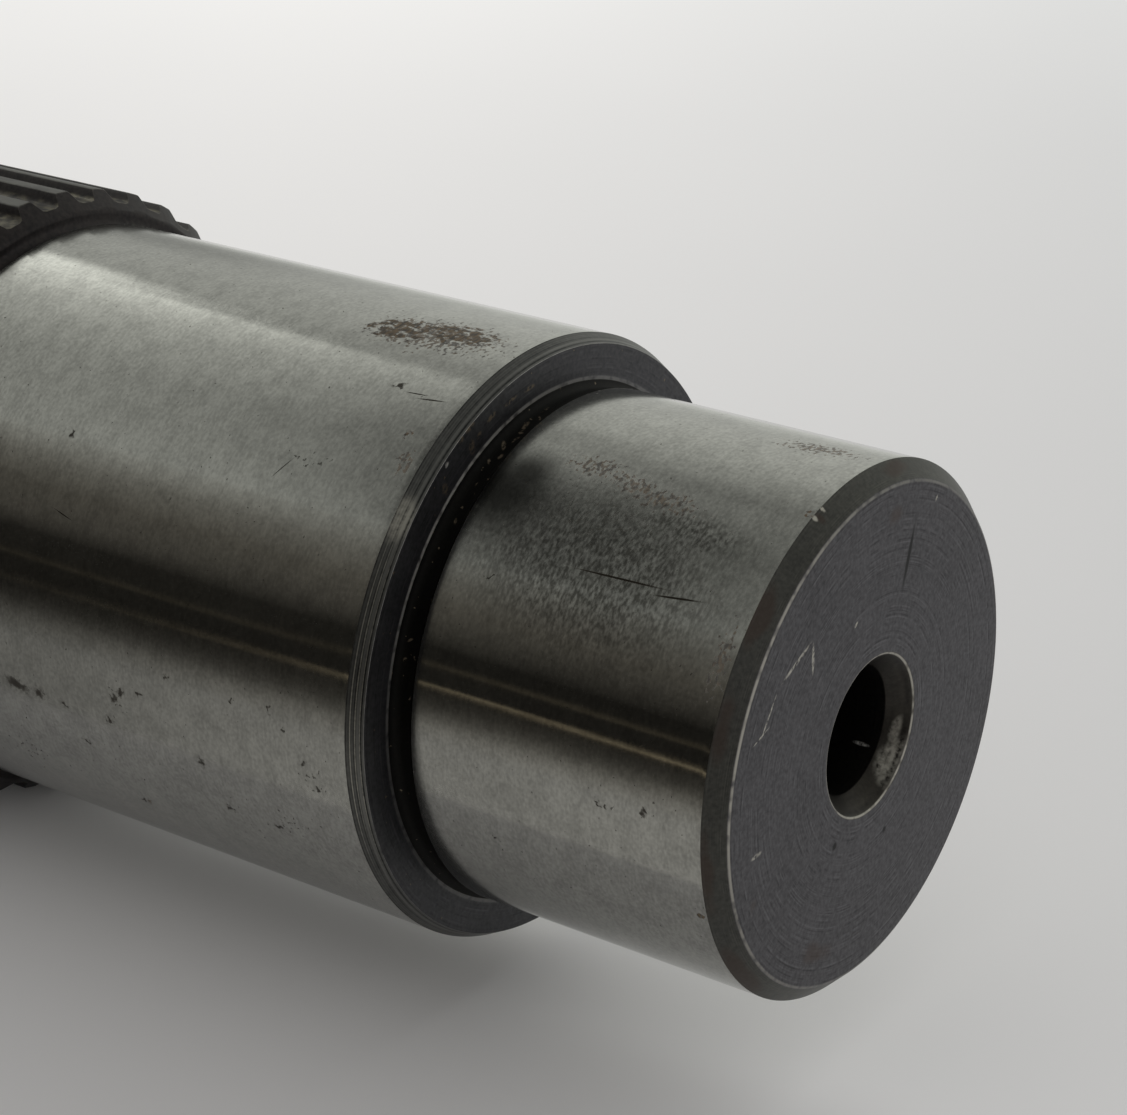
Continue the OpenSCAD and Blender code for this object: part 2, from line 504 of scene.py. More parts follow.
def marks_on(tree, flat, marks, core=0.4):
    """1 inside any mark, 0 outside, soft from the core to the rim. A mark is an ellipse on a flat
    or unrolled surface: its middle, its half length and half width in mm, and its turn in degrees."""
    total = None
    for x, y, half_length, half_width, turn in marks:
        inside = add(tree, "Mapping", {
            "Vector": flat,
            "Location": (x, y, 0),
            "Rotation": (0, 0, math.radians(turn)),
            "Scale": (half_length, half_width, 1),
        }, vector_type="TEXTURE")
        reach = add(tree, "VectorMath", {0: inside}, out="Value", operation="LENGTH")
        mark = add(tree, "MapRange", {0: reach, 1: 1.0, 2: core}, **SMOOTH)
        total = mark if total is None else add(tree, "Math", {0: total, 1: mark}, operation="MAXIMUM")
    return total


def on_band(radius, marks):
    """Marks on a round band that is unrolled, where each one's middle is given as its place along
    the axis and its angle above the camera's side."""
    return [(x, math.radians(degrees) * radius, *shape) for x, degrees, *shape in marks]


def scratch(a, b, half_width):
    """A long thin mark from one point to another on a flat or unrolled surface."""
    middle = ((a[0] + b[0]) / 2, (a[1] + b[1]) / 2)
    half_length = math.dist(a, b) / 2
    return *middle, half_length, half_width, math.degrees(math.atan2(b[1] - a[1], b[0] - a[0]))


print("material helpers ready")

# %% [markdown]
# ### Ground steel
# A grinding wheel leaves fine scratches round the axis. They spread reflections along the axis
# but keep them sharp across it, so the bands of the room show as straight lines. Anisotropy does
# that. The scratches also vary in depth, which gives the soft mottling, and rust has started
# where fingers touched the bare metal. On the journal a darker film is partly painted shade, and a
# dark patch by the shoulder is painted shade.

# %% Ground steel
STREAK_MM = (0.2, 0.7, 0.7)
MOTTLE_MM = (0.26, 0.3, 0.3)
CLOUD_MM = (1.5, 2.0, 2.0)
SMEAR_MM = (0.22, 0.45, 0.45)
SPECK_MM = (0.32, 0.4, 1.0)
FLECK_MM = (0.7, 0.46, 1.0)
RAGGED_MM = 0.45
GRINDING_DEPTH = 1.2e-6


def ground_steel(name, radius, rust_patches, faint_patches, speck_patches, scratches, blots,
                 films_and_shade=None, painted_shade=None):
    """Ground steel: polished across the marks, rough along the axis, with rust, handling marks and,
    where given, painted shade.
    """
    material, tree = new_material(name)
    place = place_in_mm(tree)
    flat = unrolled(tree, radius)
    # The real marks are a few thousandths of a millimetre wide, and are drawn coarser to show
    streaks = grains(tree, place, STREAK_MM)
    mottle = grains(tree, place, MOTTLE_MM, 2.0)
    clouds = grains(tree, place, CLOUD_MM, 2.0)
    tone = add(tree, "Math", {0: clouds, 1: 0.25, 2: 0.1}, **TIMES_PLUS)
    tone = add(tree, "Math", {0: streaks, 1: 0.2, 2: tone}, **TIMES_PLUS)
    tone = add(tree, "Math", {0: mottle, 1: 0.35, 2: tone}, **TIMES_PLUS)
    tone = add(tree, "MapRange", {0: tone, 1: 0.3, 2: 0.7}, **SMOOTH)
    colour = add(tree, "Mix", {0: tone, 6: linear("#8a8a86"), 7: linear("#b2b2ad")}, **COLOURS)
    # A mottled film, darker and browner than the steel, is partly painted shade on the journal's upper
    # side
    if films_and_shade:
        smear = grains(tree, place, SMEAR_MM, 4.0)
        smear = add(tree, "MapRange", {0: smear, 1: 0.36, 2: 0.62, 3: 0.0, 4: 0.72})
        film = add(tree, "Math", {0: smear, 1: marks_on(tree, flat, films_and_shade, 0.2)}, operation="MULTIPLY")
        colour = add(tree, "Mix", {0: film, 6: colour, 7: linear("#3a3833")}, **COLOURS)
        # Painted shade: the darker patch by the shoulder stands for the shoulder's dark reflection
        painted_shade_mask = add(tree, "Math", {0: marks_on(tree, flat, painted_shade, 0.15), 1: 0.88}, operation="MULTIPLY")
        colour = add(tree, "Mix", {0: painted_shade_mask, 6: colour, 7: linear("#2b2a28")}, **COLOURS)
    # Rust grows in flecks that join up towards the middle of a patch
    region = marks_on(tree, flat, rust_patches, 0.3)
    flecks = grains(tree, flat, FLECK_MM, 3.0, **FLAT)
    over = add(tree, "Math", {0: region, 1: 0.56, 2: flecks}, **TIMES_PLUS)
    rust = add(tree, "MapRange", {0: over, 1: 0.88, 2: 1.06, 4: 0.92}, **SMOOTH)
    # A thin bloom of finer specks, still half clear, spreads further out
    faint = marks_on(tree, flat, faint_patches, 0.0)
    specks = grains(tree, flat, SPECK_MM, 1.0, **FLAT)
    over = add(tree, "Math", {0: faint, 1: 0.5, 2: specks}, **TIMES_PLUS)
    bloom = add(tree, "MapRange", {0: over, 1: 0.84, 2: 1.02, 4: 0.7}, **SMOOTH)
    rust = add(tree, "Math", {0: rust, 1: bloom}, operation="MAXIMUM")
    hue = add(tree, "MapRange", {0: streaks, 1: 0.4, 2: 0.6})
    brown = add(tree, "Mix", {0: hue, 6: linear("#2a2216"), 7: linear("#5d4b30")}, **COLOURS)
    colour = add(tree, "Mix", {0: rust, 6: colour, 7: brown}, **COLOURS)
    # Small pits all over, closer together in some places, and marks with a place of their own
    closer = marks_on(tree, flat, speck_patches, 0.0)
    over = add(tree, "Math", {0: closer, 1: 0.16, 2: specks}, **TIMES_PLUS)
    pits = add(tree, "MapRange", {0: over, 1: 0.79, 2: 0.85, 4: 0.6}, **SMOOTH)
    cuts = marks_on(tree, flat, scratches)
    # Blots get ragged outlines, because their places are pushed about by a fine noise
    wobble = {"Vector": flat, "Scale": 1 / RAGGED_MM, "Detail": 1.0}
    push = add(tree, "TexNoise", wobble, "Color", **FLAT)
    push = add(tree, "VectorMath", {0: push, 1: (0.5, 0.5, 0.5)}, operation="SUBTRACT")
    ragged = add(tree, "VectorMath", {0: push, 1: (0.9, 0.9, 0.0), 2: flat}, **TIMES_PLUS)
    stamps = add(tree, "Math", {0: marks_on(tree, ragged, blots, 0.2), 1: 0.86}, operation="MULTIPLY")
    dark = add(tree, "Math", {0: cuts, 1: stamps}, operation="MAXIMUM")
    dark = add(tree, "Math", {0: dark, 1: pits}, operation="MAXIMUM")
    colour = add(tree, "Mix", {0: dark, 6: colour, 7: linear("#38332d")}, **COLOURS)
    # Rust is dull and no metal, while cuts stay bare metal that is only rougher
    dull = add(tree, "Math", {0: rust, 1: dark}, operation="MAXIMUM")
    rough = add(tree, "Math", {0: mottle, 1: 0.04, 2: 0.09}, **TIMES_PLUS)
    rough = add(tree, "Math", {0: dull, 1: 0.4, 2: rough}, **TIMES_PLUS)
    metal = add(tree, "Math", {0: rust, 1: -0.85, 2: 1.0}, **TIMES_PLUS)
    bump = add(tree, "Bump", {"Height": mottle, "Strength": 0.5, "Distance": GRINDING_DEPTH})
    shader = add(tree, "BsdfPrincipled", {
        "Base Color": colour,
        "Metallic": metal,
        "Roughness": rough,
        "Anisotropic": 1.0,
        "Anisotropic Rotation": 0.25,
        "Tangent": add(tree, "Tangent", direction_type="UV_MAP", uv_map="OFBake"),
        "Normal": bump,
    })
    add(tree, "OutputMaterial", {"Surface": shader})
    return material


seat_rust = on_band(seat_r, [
    (12.6, 82.6, 4.6, 3.0, 10),
    (17.0, 85.6, 5.2, 2.9, 0),
    (20.5, 57.2, 0.7, 0.9, 0),
])
seat_faint = on_band(seat_r, [
    (15.8, 83.5, 11.0, 5.2, 6),
    (21.5, 52.0, 1.6, 2.2, 0),
    (1.2, -31.5, 0.8, 0.7, 0),
])
seat_specks = on_band(seat_r, [
    (19.6, -8.0, 2.2, 2.4, 0),
    (1.6, -6.0, 1.6, 2.2, 0),
    (10.5, -23.0, 2.0, 1.4, 0),
    (-10.0, -28.0, 3.0, 3.0, 0),
    (16.5, -21.0, 3.0, 2.0, 0),
    (14.5, 47.5, 3.0, 1.2, 0),
])
seat_scratches = on_band(seat_r, [
    (18.8, 66.2, 1.2, 0.07, 4),
    (20.2, 65.6, 1.5, 0.09, 8),
    (12.4, 45.0, 1.2, 0.05, 60),
    (-4.7, 25.9, 1.3, 0.05, -14),
])
seat_blots = on_band(seat_r, [
    (17.0, 67.0, 0.7, 0.25, 20),
    (-6.4, 40.6, 0.3, 0.5, 20),
    (13.1, 47.5, 0.25, 0.25, 0),
    (15.8, 48.6, 0.2, 0.2, 0),
    (-8.6, -10.0, 1.7, 0.7, -10),
    (-6.4, -10.2, 0.8, 0.8, -20),
    (-3.9, -10.9, 0.4, 0.4, 0),
    (1.3, -5.4, 0.4, 0.5, -10),
    (2.1, -3.6, 0.4, 0.35, 0),
    (3.8, -2.6, 0.3, 0.4, 0),
    (0.5, -10.9, 0.4, 0.5, 0),
    (9.0, -13.2, 0.45, 0.5, 20),
    (15.0, -23.5, 0.35, 0.4, 0),
    (0.6, -31.9, 0.5, 0.4, 0),
    (-2.7, -18.5, 0.6, 0.4, -20),
    (6.6, 2.6, 0.25, 0.25, 0),
    (12.6, 2.3, 0.25, 0.25, 0),
    (16.1, 3.0, 0.2, 0.4, 0),
    (17.3, 0.0, 0.25, 0.3, 0),
    (10.5, -23.0, 0.5, 0.4, 0),
    (18.9, -5.2, 0.3, 0.25, 0),
    (20.0, -9.8, 0.3, 0.35, 0),
])
journal_rust = on_band(journal_r, [
    (48.4, -19.0, 0.5, 0.5, 0),
    (48.6, 70.5, 0.7, 0.8, 0),
])
journal_faint = on_band(journal_r, [
    (32.6, 68.2, 4.6, 2.2, 0),
    (36.0, 66.0, 5.5, 2.0, -8),
    (38.5, 64.5, 7.0, 2.0, -4),
    (44.5, 95.0, 6.5, 2.6, 10),
    (48.0, 35.0, 1.4, 5.0, 0),
])
journal_specks = on_band(journal_r, [
    (41.4, 0.4, 1.6, 0.9, 0),
    (44.7, 1.6, 1.2, 0.9, 0),
    (36.0, 57.0, 12.0, 6.0, 0),
])
journal_scratches = on_band(journal_r, [
    (38.7, 44.9, 5.0, 0.11, 2),
    (43.3, 44.2, 2.4, 0.11, 7),
])
journal_blots = on_band(journal_r, [
    (29.4, 38.0, 0.2, 0.2, 0),
    (40.9, 0.5, 0.3, 0.2, 0),
    (41.6, 0.2, 0.2, 0.2, 0),
    (44.6, 1.8, 0.4, 0.35, 0),
    (32.0, -17.1, 0.25, 0.25, 0),
])
# A mottled film that is partly painted shade, darkening the journal's upper side
journal_films_and_shade = on_band(journal_r, [
    (37.0, 45.0, 15.0, 9.0, 0),
    (42.0, 58.5, 7.0, 2.6, -6),
])
# Painted shade: the shoulder's dark reflection on the journal next to the groove
journal_shoulder_shade = on_band(journal_r, [
    (28.0, 61.8, 3.4, 3.2, 0),
    (27.0, 57.0, 6.0, 5.0, 0),
])
seat_steel = ground_steel("ground_seat_steel", seat_r, seat_rust, seat_faint, seat_specks,
                          seat_scratches, seat_blots)
journal_steel = ground_steel("ground_journal_steel", journal_r, journal_rust, journal_faint,
                             journal_specks, journal_scratches, journal_blots,
                             journal_films_and_shade, journal_shoulder_shade)
print("ground steel:", len(seat_blots), "blots on the seat,", len(journal_blots), "on the journal")

# %% [markdown]
# ### Blackened steel
# The faces, chamfers, grooves and teeth were not ground after hardening, so they keep a thin dark
# oxide skin. Under it are the rings that the lathe tool left. Where an edge was handled the skin
# has worn off and bare steel shows as a thin bright line. Scratches are bright too, stains brown.
# The bright line on the shoulder's inner edge is a painted highlight, and so are the bright streaks
# in the countersink. The groove's skin is painted darker still, as shade in the recess.

# %% Blackened steel
RING_MM = 0.2
BREAK_MM = (1.4, 1.4, 1.4)
STAIN_MM = (3.5, 3.5, 3.5)
GRAIN_MM = (0.3, 0.3, 0.3)
DUST_MM = (0.5, 0.5, 0.5)
RUB_MM = (0.8, 0.8, 0.8)
RING_DEPTH = 6e-6


def blackened_steel(name, dark, pale, rough, rings, flat=end_on, bright=None, black=None,
                    brown=None, dust=None, crumbs=None, ring_mm=RING_MM, grit=0.65, broken=0.9,
                    shine=1.0, bare_and_highlight_colour="#b4b1a7"):
    """Turned steel under a dark oxide skin: rings round the axis, stains, grain and bare edges.

    rings says how strongly the tool's rings show, ring_mm how wide they are and broken how far they
    are rubbed out. grit is the share of fine grain, and dust the level of its noise above which pale
    specks lie. shine is how bare the bright marks are, and bare_and_highlight_colour what shows there,
    on worn edges and on edges that carry a painted highlight. The marks lie on the surface as the
    function flat sees it."""
    material, tree = new_material(name)
    place = place_in_mm(tree)
    flat = flat(tree)
    x = add(tree, "SeparateXYZ", {0: place})
    off_axis = add(tree, "VectorMath", {0: place, 1: (0, 1, 1)}, operation="MULTIPLY")
    radius = add(tree, "VectorMath", {0: off_axis}, out="Value", operation="LENGTH")
    path = add(tree, "Math", {0: radius, 1: x}, operation="SUBTRACT")
    path = add(tree, "Math", {0: path, 1: ring_mm}, operation="DIVIDE")
    ring = add(tree, "TexNoise", {"W": path, "Scale": 1.0, "Detail": 1.0}, noise_dimensions="1D")
    stain = grains(tree, place, STAIN_MM, 3.0)
    grain = grains(tree, place, GRAIN_MM, 2.0)
    # Rings break into short arcs, because later handling has rubbed parts of them out
    patch = add(tree, "MapRange", {0: grains(tree, place, BREAK_MM), 1: 0.42, 2: 0.6, 3: 1 - broken})
    ring_tone = add(tree, "Math", {0: ring, 1: -0.5}, operation="ADD")
    ring_tone = add(tree, "Math", {0: ring_tone, 1: patch}, operation="MULTIPLY")
    tone = add(tree, "Math", {0: stain, 1: 0.35, 2: 0.325 - grit / 2}, **TIMES_PLUS)
    tone = add(tree, "Math", {0: grain, 1: grit, 2: tone}, **TIMES_PLUS)
    tone = add(tree, "Math", {0: ring_tone, 1: rings, 2: tone}, **TIMES_PLUS)
    tone = add(tree, "MapRange", {0: tone, 1: 0.25, 2: 0.75})
    colour = add(tree, "Mix", {0: tone, 6: linear(dark), 7: linear(pale)}, **COLOURS)
    if brown:
        film = add(tree, "Math", {0: marks_on(tree, flat, brown, 0.0), 1: 0.6, 2: stain}, **TIMES_PLUS)
        film = add(tree, "MapRange", {0: film, 1: 0.75, 2: 1.1, 4: 0.6}, **SMOOTH)
        colour = add(tree, "Mix", {0: film, 6: colour, 7: linear("#463a34")}, **COLOURS)
    if black:
        scratch_and_sheen = marks_on(tree, flat, black)
        colour = add(tree, "Mix", {0: scratch_and_sheen, 6: colour, 7: linear("#121212")}, **COLOURS)
    if dust:
        specks = grains(tree, place, DUST_MM, 2.0)
        specks = add(tree, "MapRange", {0: specks, 1: dust, 2: dust + 0.05}, **SMOOTH)
        lumps = add(tree, "MapRange", {0: grain, 1: 0.4, 2: 0.55})
        lumps = add(tree, "Math", {0: lumps, 1: marks_on(tree, flat, crumbs)}, operation="MULTIPLY")
        specks = add(tree, "Math", {0: specks, 1: lumps}, operation="MAXIMUM")
        colour = add(tree, "Mix", {0: specks, 6: colour, 7: linear("#74695a")}, **COLOURS)
    # The edge attribute paints worn edges, and a painted highlight on the shoulder's inner edge
    bare = add(tree, "Attribute", attribute_name="wear", out="Fac")
    worn = add(tree, "MapRange", {0: grains(tree, place, RUB_MM), 1: 0.2, 2: 0.5})
    bare = add(tree, "Math", {0: bare, 1: worn}, operation="MULTIPLY")
    # Bright marks are mostly scratches and nicks, and in the countersink a painted highlight
    if bright:
        scratch_and_sheen = add(tree, "Mix", {0: grit, 2: ring, 3: grain})
        scratch_and_sheen = add(tree, "MapRange", {0: scratch_and_sheen, 1: 0.36, 2: 0.56, 4: shine})
        scratch_and_sheen = add(tree, "Math", {0: scratch_and_sheen, 1: marks_on(tree, flat, bright)}, operation="MULTIPLY")
        bare = add(tree, "Math", {0: bare, 1: scratch_and_sheen}, operation="MAXIMUM")
    colour = add(tree, "Mix", {0: bare, 6: colour, 7: linear(bare_and_highlight_colour)}, **COLOURS)
    roughness = add(tree, "Math", {0: stain, 1: 0.2, 2: rough - 0.1}, **TIMES_PLUS)
    height = add(tree, "Math", {0: ring, 1: grain}, operation="ADD")
    bump = add(tree, "Bump", {"Height": height, "Strength": 0.4, "Distance": RING_DEPTH})
    shader = add(tree, "BsdfPrincipled", {
        "Base Color": colour,
        "Metallic": 0.85,
        "Roughness": roughness,
        "Normal": bump,
    })
    add(tree, "OutputMaterial", {"Surface": shader})
    return material


def journal_unrolled(tree):
    """The journal's end unrolled, for its chamfer and groove."""
    return unrolled(tree, journal_r)


def seat_unrolled(tree):
    """The seat's end unrolled, for its lead-in."""
    return unrolled(tree, seat_r)


def bore_unrolled(tree):
    """The drilled hole unrolled."""
    return unrolled(tree, bore_r)


face_bright = [
    scratch((-8.0, 10.2), (-12.2, 8.3), 0.19),
    scratch((-12.2, 8.3), (-14.4, 5.1), 0.12),
    scratch((-8.1, 10.2), (-8.0, 7.3), 0.2),
    scratch((-15.1, -2.9), (-13.6, -2.8), 0.22),
    scratch((-15.4, 5.2), (-13.0, 6.0), 0.09),
    scratch((-2.9, 9.0), (-2.4, 9.4), 0.16),
    scratch((7.4, 14.6), (7.7, 15.1), 0.14),
]
face_black = [
    scratch((4.9, 14.6), (3.2, 9.0), 0.3),
    scratch((-4.6, -6.9), (-4.1, -6.2), 0.35),
    scratch((2.2, -8.4), (2.6, -7.9), 0.3),
]
face_brown = [
    (-14.6, -6.5, 1.8, 1.2, 60),
    (-6.0, -14.0, 5.0, 1.8, -20),
    (2.0, 15.4, 2.6, 1.6, 0),
]
chamfer_brown = on_band(journal_r, [
    (49.2, 24.0, 1.0, 6.0, 0),
    (49.1, -8.0, 0.8, 8.0, 0),
    (49.2, 45.0, 1.0, 5.0, 0),
    (49.2, -38.0, 1.0, 9.0, 0),
    (49.2, 71.0, 0.8, 0.8, 0),
    (49.4, 100.0, 1.0, 4.0, 0),
])
chamfer_bright = on_band(journal_r, [(49.0, 70.0, 0.25, 0.25, 0), (49.0, 73.0, 0.3, 0.2, 0)])
lead_bright = on_band(seat_r, [
    (23.2, 42.0, 1.0, 2.2, 0),
    (23.05, 8.0, 0.04, 16.0, 0),
    (23.35, 12.0, 0.045, 15.0, 0),
    (23.65, 6.0, 0.04, 17.0, 0),
])
shoulder_bright = [(-12.4, 17.6, 0.3, 0.2, 60)]
shoulder_crumbs = [
    (-9.8, 19.6, 0.8, 0.45, 30),
    (-9.6, 18.0, 0.7, 0.45, 100),
    (-10.9, 18.9, 0.5, 0.4, 0),
    (-12.6, 15.9, 0.45, 0.6, 40),
    (-7.4, 19.5, 0.7, 0.25, 25),
    (-5.2, 20.0, 0.9, 0.2, 15),
    (-3.0, 20.3, 0.8, 0.2, 8),
    (-8.8, 18.6, 0.4, 0.25, 40),
]
groove_crumbs = on_band(journal_r, [
    (24.7, 47.6, 0.16, 0.3, 20),
    (24.9, 65.4, 0.2, 0.35, 0),
    (24.4, 63.3, 0.15, 0.3, 30),
    (24.5, 68.5, 0.2, 0.6, 30),
    (24.9, 71.5, 0.15, 0.35, -20),
    (24.6, 76.0, 0.2, 0.8, 10),
    (24.9, 80.0, 0.12, 0.4, 40),
    (24.5, 83.7, 0.15, 0.6, 0),
    (25.4, 30.3, 0.15, 0.2, 0),
    (24.5, 21.2, 0.35, 0.12, 40),
    (24.4, 16.8, 0.2, 0.25, 0),
    (25.1, 8.9, 0.4, 0.08, 60),
])
# Painted highlight: bright streaks on the countersink's lower right, where its cone catches the light,
# drawn as bare marks
sink_highlight = [
    (3.75, -3.6, 2.4, 0.6, 45),
    (4.1, -3.5, 1.6, 0.35, 48),
    (4.8, -1.8, 1.4, 0.3, 68),
]
# A stray white fibre sticks to the wall just inside the hole
bore_bright = on_band(bore_r, [(47.4, 218.4, 0.8, 0.18, 0)])

by_finish = {
    "seat": seat_steel,
    "journal": journal_steel,
    "face": blackened_steel("turned_end_face_steel", "#302f32", "#616063", 0.46, 0.85,
                            bright=face_bright, black=face_black, brown=face_brown),
    "chamfer": blackened_steel("turned_chamfer_steel", "#3a3a38", "#54544f", 0.48, 0.8,
                               flat=journal_unrolled, bright=chamfer_bright, brown=chamfer_brown),
    # The shoulder's near-white bare colour paints the highlight on its inner edge
    "shoulder": blackened_steel("turned_shoulder_steel", "#37373a", "#545456", 0.45, 0.8,
                                dust=0.72, bright=shoulder_bright, crumbs=shoulder_crumbs,
                                bare_and_highlight_colour="#f2f0ea"),
    "lead": blackened_steel("turned_lead_steel", "#2a2b2b", "#6a6a67", 0.42, 2.4,
                            flat=seat_unrolled, bright=lead_bright, ring_mm=0.4, grit=0.25, broken=0.4,
                            shine=0.7),
    # Painted shade: the groove keeps the oxide skin, painted much darker than the faces for the shade in
    # the recess
    "groove": blackened_steel("oxide_groove_steel", "#0d0d0c", "#1a1917", 0.55, 0.4,
                              flat=journal_unrolled, dust=0.69, crumbs=groove_crumbs),
    "sink": blackened_steel("drilled_sink_steel", "#211f1d", "#403d38", 0.4, 1.0,
                            bright=sink_highlight, grit=0.4, shine=0.6),
    "bore": blackened_steel("drilled_bore_steel", "#171615", "#2a2825", 0.55, 0.6,
                            flat=bore_unrolled, bright=bore_bright, bare_and_highlight_colour="#fbfaf5"),
}
print(len(by_finish), "finishes so far")

# %% [markdown]
# ### Oxide-black teeth
# The spline kept the same black skin, but hubs have slid over it. So the lands on top of the teeth
# are rubbed to a dull grey, the roots hold a brownish film, and the chamfered ends stay black.

# %% Oxide-black teeth
TOOTH_STAIN_MM = (2.5, 1.2, 1.2)
TOOTH_GRAIN_MM = (0.35, 0.35, 0.35)
CRUST_MM = (1.1, 0.7, 0.7)
CRUST_REACH = (12, 3)
OXIDE_DEPTH = 1.5e-5


def tooth_steel(name):
    """Black oxide that is rubbed on the tooth tips and filmed in the roots, by height on the tooth."""
    material, tree = new_material(name)
    place = place_in_mm(tree)
    stain = grains(tree, place, TOOTH_STAIN_MM, 3.0)
    grain = grains(tree, place, TOOTH_GRAIN_MM, 2.0)
    tone = add(tree, "MapRange", {0: add(tree, "Math", {0: stain, 1: grain}, operation="ADD"),
                                  1: 0.7, 2: 1.3})
    colour = add(tree, "Mix", {0: tone, 6: linear("#201e1f"), 7: linear("#363231")}, **COLOURS)
    high = add(tree, "Attribute", attribute_name="tooth_height", out="Fac")
    patch = add(tree, "MapRange", {0: stain, 1: 0.35, 2: 0.6, 3: 0.25}, **SMOOTH)
    tip = add(tree, "MapRange", {0: high, 1: 0.88, 2: 0.97}, **SMOOTH)
    tip = add(tree, "Math", {0: tip, 1: patch}, operation="MULTIPLY")
    colour = add(tree, "Mix", {0: tip, 6: colour, 7: linear("#5b5a56")}, **COLOURS)
    # Dirt has dried in the roots in olive patches about a millimetre across, mostly near the seat
    crust = grains(tree, place, CRUST_MM, 3.0)
    crust = add(tree, "MapRange", {0: crust, 1: 0.35, 2: 0.7}, **SMOOTH)
    along_axis = add(tree, "SeparateXYZ", {0: place})
    rare, thick = [x_spline - reach for reach in CRUST_REACH]
    near = add(tree, "MapRange", {0: along_axis, 1: rare, 2: thick, 3: 0.3})
    crust = add(tree, "Math", {0: crust, 1: near}, operation="MULTIPLY")
    root = add(tree, "MapRange", {0: high, 1: 0.45, 2: 0.1}, **SMOOTH)
    root = add(tree, "Math", {0: root, 1: crust}, operation="MULTIPLY")
    colour = add(tree, "Mix", {0: root, 6: colour, 7: linear("#6a6557")}, **COLOURS)
    bare = add(tree, "Attribute", attribute_name="wear", out="Fac")
    bare = add(tree, "Math", {0: bare, 1: patch}, operation="MULTIPLY")
    bare = add(tree, "Math", {0: bare, 1: grain}, operation="MULTIPLY")
    colour = add(tree, "Mix", {0: bare, 6: colour, 7: linear("#8d8b84")}, **COLOURS)
    rough = add(tree, "Math", {0: stain, 1: 0.3, 2: 0.3}, **TIMES_PLUS)
    bump = add(tree, "Bump", {"Height": grain, "Strength": 0.5, "Distance": OXIDE_DEPTH})
    shader = add(tree, "BsdfPrincipled", {
        "Base Color": colour,
        "Metallic": 0.8,
        "Roughness": rough,
        "Normal": bump,
    })
    add(tree, "OutputMaterial", {"Surface": shader})
    return material


by_finish["spline"] = tooth_steel("oxide_black_tooth_steel")
for name in FINISHES:
    skin_mesh.materials.append(by_finish[name])
print(len(skin_mesh.materials), "finishes on the skin")

# %% [markdown]
# ## Floor and light
# The shaft lies on a pale board. Bright metal shows its surroundings more than itself, so the
# studio is built for its reflections: a pale room behind, and a dim tent on the camera's side,
# which gives the dark bands along the ground steel. A large soft lamp behind the shaft lights the
# board and lays a soft shadow in front.

# %% Lay the floor
FLOOR_SIZE = 4.0
BOARD_SHADE = (-40.0, 140.0)
BOARD_CLOUD_MM = (60.0, 60.0, 60.0)


def sheet(name, points):
    """A sheet of quads from a grid of points, put on the stage."""
    rows, across = points.shape[:2]
    here = (np.arange(rows - 1)[:, None] * across + np.arange(across - 1)).ravel()
    quads = np.stack([here, here + 1, here + across + 1, here + across], -1)
    mesh = bpy.data.meshes.new(name)
    mesh.from_pydata(points.reshape(-1, 3), [], quads.tolist())
    item = bpy.data.objects.new(name, mesh)
    scene.collection.objects.link(item)
    return item


floor_z = box_low[2]
spread = FLOOR_SIZE / 2 * np.array([-1.0, 1.0])
floor_x, floor_y = np.meshgrid(spread, spread)
floor = sheet("pale_board", np.stack([floor_x, floor_y, np.full((2, 2), floor_z)], -1))
board, tree = new_material("painted_board")
# Painted shade: the board greys a little towards the picture's right, over the width that the camera
# sees, as the light falls off there
across = (math.cos(VIEW_AZIMUTH), math.sin(VIEW_AZIMUTH), 0.0)
shade = add(tree, "VectorMath", {0: place_in_mm(tree), 1: across}, out="Value", operation="DOT_PRODUCT")
shade = add(tree, "MapRange", {0: shade, 1: BOARD_SHADE[0], 2: BOARD_SHADE[1]}, **SMOOTH)
cloudy = grains(tree, place_in_mm(tree), BOARD_CLOUD_MM)
shade = add(tree, "Math", {0: cloudy, 1: 0.1, 2: shade}, **TIMES_PLUS)
paint = add(tree, "Mix", {0: shade, 6: linear("#f6f6f3"), 7: linear("#dedfdd")}, **COLOURS)
coat = add(tree, "BsdfPrincipled", {"Base Color": paint, "Roughness": 0.6, "Specular IOR Level": 0.0})
add(tree, "OutputMaterial", {"Surface": coat})
floor.data.materials.append(board)
print("floor at", round(1000 * floor_z, 2), "mm")

# %% Hang the dim tent on the camera's side
TENT_R = 0.28
TENT_X = (-0.75, 0.45)
TENT_FROM, TENT_TO = -36.0, 186.0
TENT_COLUMNS, TENT_ROWS = 97, 889
# Glow of the tent by angle above the horizon on the camera's side: where the seat's far part sees
# it, where the seat's near part does, and where the journal does
TENT_PLACES = np.array([-0.25, -0.185, -0.12])
TENT_GLOW = np.array([
    (-36, 0.20, 0.38, 0.44), (-22, 0.25, 0.36, 0.45), (-17, 0.15, 0.28, 0.38), (-13, 0.06, 0.11, 0.20),
    (-9, 0.025, 0.045, 0.075), (-3, 0.02, 0.025, 0.025), (13, 0.03, 0.03, 0.02), (20, 0.11, 0.10, 0.07),
    (31, 0.13, 0.16, 0.15), (41, 0.25, 0.29, 0.20), (51, 0.52, 0.55, 0.36), (82, 0.50, 0.44, 0.26),
    (102, 0.58, 0.50, 0.34), (122, 0.62, 0.52, 0.50), (133, 0.66, 0.66, 0.70), (153, 0.62, 0.72, 0.76),
    (168, 0.33, 0.70, 0.66), (176, 0.36, 0.60, 0.66), (186, 0.72, 0.75, 0.75),
])
# Tint of the glow: the board below is warm, the dark part browner, and the bright part overhead clear
TINT_ANGLES = (-20, -8, 30, 52)
TINTS = np.array([(1.0, 0.98, 0.93), (1.0, 0.93, 0.80), (1.0, 0.93, 0.80), (0.985, 1.0, 0.94)])
WARM = np.array([1.0, 0.82, 0.54])
